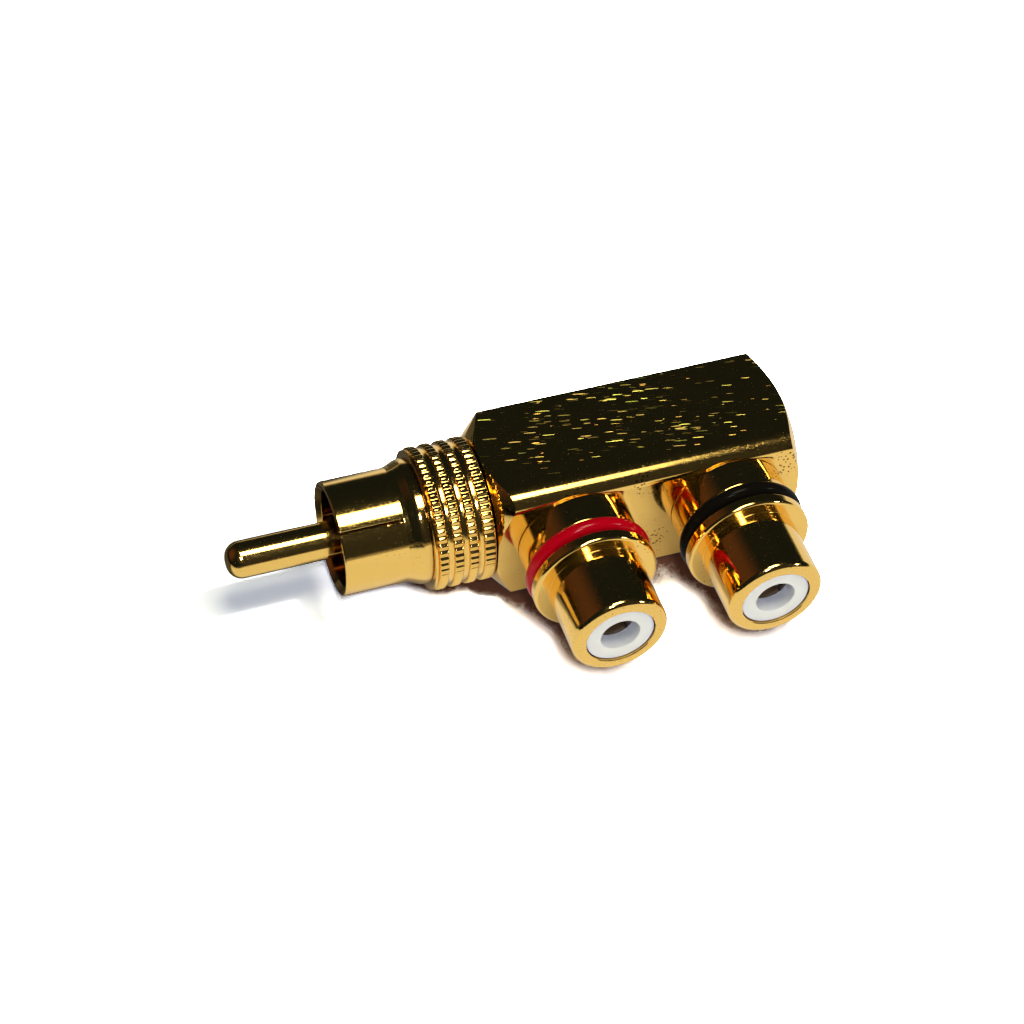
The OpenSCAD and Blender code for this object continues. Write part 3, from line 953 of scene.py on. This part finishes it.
class SPLITTER_OT_stage(bpy.types.Operator):
    """Sets the floor, the soft lamps, the surroundings and the camera"""

    bl_idname = "splitter.stage"
    bl_label = "Stage"

    def execute(self, context):
        scene = context.scene
        scene.view_settings.view_transform = "Standard"
        floor = self.floor()
        self.world(scene)
        softbox = self.lamp("Softbox", (0.09, -0.146, 0.877), (0.38, 0.36), 6.8, level=True)
        softbox.data.color = (1.0, 0.96, 0.74)
        self.fade(softbox.data)
        # The bulb lights the floor alone and gives the pin its crisp shadow
        bulb = self.lamp("Bulb", (0.217, -0.171, 0.80), (0.04, 0.04), 5.0)
        lit = bpy.data.collections.new("Lit_by_bulb")
        lit.objects.link(floor)
        bulb.light_linking.receiver_collection = lit
        self.lamp("Left_spot", (-0.126, -0.522, 0.72), (0.118, 0.118), 2.4)
        self.lamp("Right_spot", (0.675, -0.405, 0.36), (0.1, 0.1), 0.9)
        self.camera(scene)
        return {"FINISHED"}

    @staticmethod
    def floor():
        """A pale floor that touches the knurled sleeve and the far lower edge of the body."""
        # The last knurled ring stands on it, and so does the end of the body's lower edge
        sleeve_x, sleeve_z = SLEEVE_LOW.x + 5.2 * MM, SLEEVE_LOW.z
        edge_x, edge_z = BAR_HIGH.x - 0.75 * MM, BAR_LOW.z
        slope = (edge_z - sleeve_z) / (edge_x - sleeve_x)
        reach = 1.4
        corners = [(-reach, -reach), (reach, -reach), (reach, reach), (-reach, reach)]
        mesh = bmesh.new()
        mesh.faces.new([mesh.verts.new((x, y, sleeve_z + (x - sleeve_x) * slope)) for x, y in corners])
        piece = add_object("Floor", mesh)
        piece.data.materials.append(pale_floor())
        return piece

    @staticmethod
    def world(scene):
        """White where the camera looks past the floor, and a dark room for the lights and reflections."""
        brown_side, grey_side = (-0.82, 0.36, 0.44), (0.2, -0.85, 0.48)
        dark, grey = (0.009, 0.012, 0.016), (0.030, 0.030, 0.028)
        brown, cream = (0.085, 0.038, 0.022), (0.32, 0.29, 0.24)
        scene.world = bpy.data.worlds.new("Room")
        shader = Shader(scene.world, "ShaderNodeOutputWorld")
        towards = shader.add("ShaderNodeTexCoord").outputs["Generated"]
        sides = shader.parts(towards)
        brownness = shader.spread(shader.vector("DOT_PRODUCT", towards, brown_side), 0.74, 0.98)
        greyness = shader.spread(shader.vector("DOT_PRODUCT", towards, grey_side), 0.72, 0.96)
        room = shader.mix_colour(greyness, dark, grey)
        room = shader.mix_colour(shader.math("MULTIPLY", brownness, brownness), room, brown)
        # A cream band lies along the horizon, except on the plug's side
        band = shader.spread(sides["Z"], 0.03, 0.10, to_low=1.0, to_high=0.0)
        band = shader.math("MULTIPLY", band, shader.spread(sides["X"], -0.6, -0.2))
        room = shader.add("ShaderNodeBackground", {"Color": shader.mix_colour(band, room, cream)})
        white = shader.add("ShaderNodeBackground", {"Color": (1, 1, 1, 1)})
        seen = shader.add("ShaderNodeLightPath").outputs["Is Camera Ray"]
        either = shader.add("ShaderNodeMixShader", {0: seen, 1: room.outputs[0], 2: white.outputs[0]})
        shader.surface(either.outputs[0])

    @staticmethod
    def lamp(name, place, size, power, level=False):
        """A soft rectangular lamp that faces the middle of the adapter, or straight down."""
        light = bpy.data.lights.new(name, "AREA")
        light.shape = "RECTANGLE"
        light.size, light.size_y = size
        light.energy = power
        lamp = bpy.data.objects.new(name, light)
        target = Vector((0.02, -0.004, 0))
        lamp.location = Vector(place) + target
        if not level:
            lamp.rotation_euler = (target - lamp.location).to_track_quat("-Z", "Y").to_euler()
        lamp.visible_camera = False
        bpy.context.scene.collection.objects.link(lamp)
        return lamp

    @staticmethod
    def fade(light):
        """Dims a lamp towards its rim, most on the side beyond the body's far end."""
        shader = Shader(light, "ShaderNodeOutputLight")
        place = shader.parts(shader.add("ShaderNodeNewGeometry").outputs["Parametric"])
        # Both run from 0 to 1 across the lamp
        side, front = place["X"], place["Y"]
        end = shader.spread(side, 0.70, 0.88, to_low=1.0, to_high=0.2)
        tip = shader.spread(side, 0.88, 1.0, to_low=1.0, to_high=0.3)
        from_middle = shader.math("ABSOLUTE", shader.math("SUBTRACT", front, 0.5))
        rim = shader.spread(from_middle, 0.36, 0.5, to_low=1.0, to_high=0.12)
        strength = shader.math("MULTIPLY", end, tip, rim)
        shader.surface(shader.add("ShaderNodeEmission", {"Strength": strength}).outputs[0])

    @staticmethod
    def camera(scene):
        """The camera looks down from in front of the jacks and to the left."""
        # Fitted to the photograph, in radians and metres
        azimuth, elevation, roll = 0.3684, 0.8531, 0.0593
        place = (-0.040801, -0.147553, 0.179345)
        out = math.cos(elevation)
        back = Vector((-math.sin(azimuth) * out, -math.cos(azimuth) * out, math.sin(elevation)))
        level = Vector((math.cos(azimuth), -math.sin(azimuth), 0))
        upright = back.cross(level)
        right = level * math.cos(roll) + upright * math.sin(roll)
        up = upright * math.cos(roll) - level * math.sin(roll)
        data = bpy.data.cameras.new("Camera")
        data.sensor_width = 36
        data.lens = 98.85
        camera = bpy.data.objects.new("Camera", data)
        turn = Matrix((right, up, back)).transposed().to_4x4()
        camera.matrix_world = Matrix.Translation(place) @ turn
        scene.collection.objects.link(camera)
        scene.camera = camera


class SPLITTER_PT_panel(bpy.types.Panel):
    """Lists the steps that build the adapter"""

    bl_idname = "SPLITTER_PT_panel"
    bl_label = "Splitter adapter"
    bl_space_type = "VIEW_3D"
    bl_region_type = "UI"
    bl_category = "Splitter"

    def draw(self, context):
        layout = self.layout
        for step in STEPS:
            layout.operator(step.bl_idname)
        for group in GROUPS:
            settings = getattr(context.scene, group)
            box = layout.box()
            for name in settings.__annotations__:
                box.prop(settings, name)


GROUPS = {
    "splitter_body": SplitterBodySettings,
    "splitter_plug": PlugSettings,
    "splitter_jacks": JackSettings,
    "finish": FinishSettings,
}
STEPS = (
    SPLITTER_OT_stage, SPLITTER_OT_body, SPLITTER_OT_sleeve, SPLITTER_OT_plug,
    SPLITTER_OT_jacks, SPLITTER_OT_rings, SPLITTER_OT_inner,
)


def register():
    """Registers the settings, the steps and the panel."""
    for name, group in GROUPS.items():
        bpy.utils.register_class(group)
        setattr(bpy.types.Scene, name, bpy.props.PointerProperty(type=group))
    for step in STEPS:
        bpy.utils.register_class(step)
    bpy.utils.register_class(SPLITTER_PT_panel)


def unregister():
    """Takes back what register did."""
    bpy.utils.unregister_class(SPLITTER_PT_panel)
    for step in reversed(STEPS):
        bpy.utils.unregister_class(step)
    for name, group in reversed(GROUPS.items()):
        delattr(bpy.types.Scene, name)
        bpy.utils.unregister_class(group)


def main():
    """Builds the whole adapter and its stage."""
    register()
    bpy.ops.splitter.stage()
    bpy.ops.splitter.body()
    bpy.ops.splitter.sleeve()
    bpy.ops.splitter.plug()
    bpy.ops.splitter.jacks()
    bpy.ops.splitter.rings()
    bpy.ops.splitter.inner()


if __name__ == "__main__":
    main()
